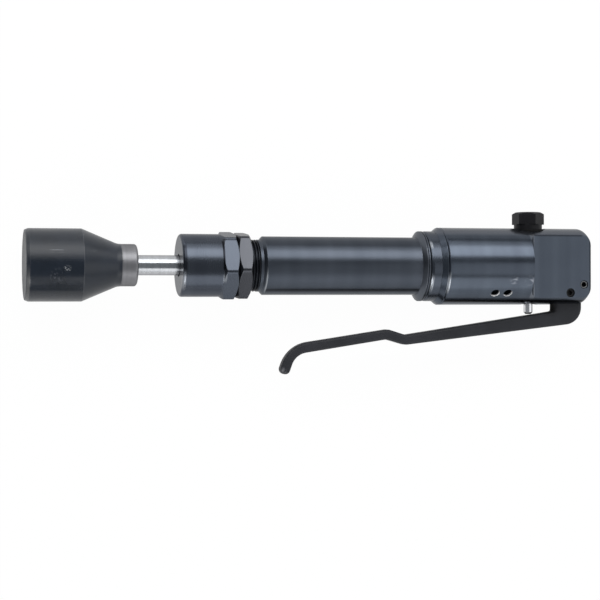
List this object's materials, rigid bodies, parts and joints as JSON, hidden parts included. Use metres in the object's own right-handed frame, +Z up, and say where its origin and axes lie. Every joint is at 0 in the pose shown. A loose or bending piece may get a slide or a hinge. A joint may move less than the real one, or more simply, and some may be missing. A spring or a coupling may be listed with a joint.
{
  "type": "pneumatic sand rammer",
  "caption": "Hand-held air sand rammer with a rubber butt on a sliding rod, a round barrel grip, and a throttle body with a squeeze lever, valve cap and threaded air inlet.",
  "frame": {"origin": "on the tool axis at the air inlet mouth, in the rear face of the throttle body", "axes": "+X along the tool axis, out of the air inlet and away from the butt; +Y towards the valve cap, with the lever on the -Y side; +Z up, square to the lever's plane, with the tool lying on its side as on a bench"},
  "size_m": [0.38, 0.1085, 0.052],
  "materials": {
    "rubber_black": "moulded black rubber",
    "turned_steel": "turned steel",
    "ground_steel": "ground and polished steel",
    "black_steel": "blackened turned steel",
    "black_lever": "matt black forged steel",
    "bronze": "bearing bronze",
    "seal_rubber": "seal rubber",
    "chest_steel": "hardened steel",
    "spring_steel": "spring wire",
    "pin_steel": "bright steel",
    "mesh_brass": "drilled brass sheet"
  },
  "bodies": {
    "housing": {"gland_nut": "black_steel", "lock_nut": "black_steel", "rod_wiper": "seal_rubber", "packing_washer": "chest_steel", "rod_packing": "seal_rubber", "rod_bush": "bronze", "barrel": "black_steel", "barrel_lock_ring": "black_steel", "barrel_ring": "seal_rubber", "throttle_body": "black_steel", "valve_case": "chest_steel", "valve_cover": "chest_steel", "chest_dowels": "pin_steel", "chest_seal": "seal_rubber", "valve_cap": "black_steel", "cap_gasket": "seal_rubber", "valve_seat": "bronze", "throttle_spring": "spring_steel", "pin_bush": "bronze", "pin_ring": "seal_rubber", "lever_pivot_screw": "black_steel", "lever_stop_pin": "pin_steel", "inlet_strainer": "mesh_brass"},
    "ram": {"rubber_butt": "rubber_black", "butt_core": "turned_steel", "piston_rod": "ground_steel", "piston_rings": "chest_steel"},
    "lever": {"throttle_lever": "black_lever"},
    "throttle": {"throttle_valve": "chest_steel", "throttle_pin": "pin_steel"},
    "shuttle": {"shuttle_valve": "chest_steel"}
  },
  "joints": [
    {"name": "ram_stroke", "type": "slide", "parent": "housing", "child": "ram", "axis": [-1, 0, 0], "range_m": [-0.024, 0.056]},
    {"name": "lever_squeeze", "type": "hinge", "parent": "housing", "child": "lever", "pos_m": [-0.0147, -0.018, 0], "axis": [0, 0, -1], "range_deg": [0, 9], "stiffness_Nm_per_rad": 1.2, "springref_deg": -11.46},
    {"name": "throttle_lift", "type": "slide", "parent": "housing", "child": "throttle", "axis": [0, 1, 0], "range_m": [0, 0.004], "deforming": ["throttle_spring"]},
    {"name": "shuttle_flip", "type": "slide", "parent": "housing", "child": "shuttle", "axis": [1, 0, 0], "range_m": [0, 0.003]}
  ],
  "couplings": [
    {"joint": "throttle_lift", "follows": "lever_squeeze", "m_per_rad": 0.0247}
  ]
}
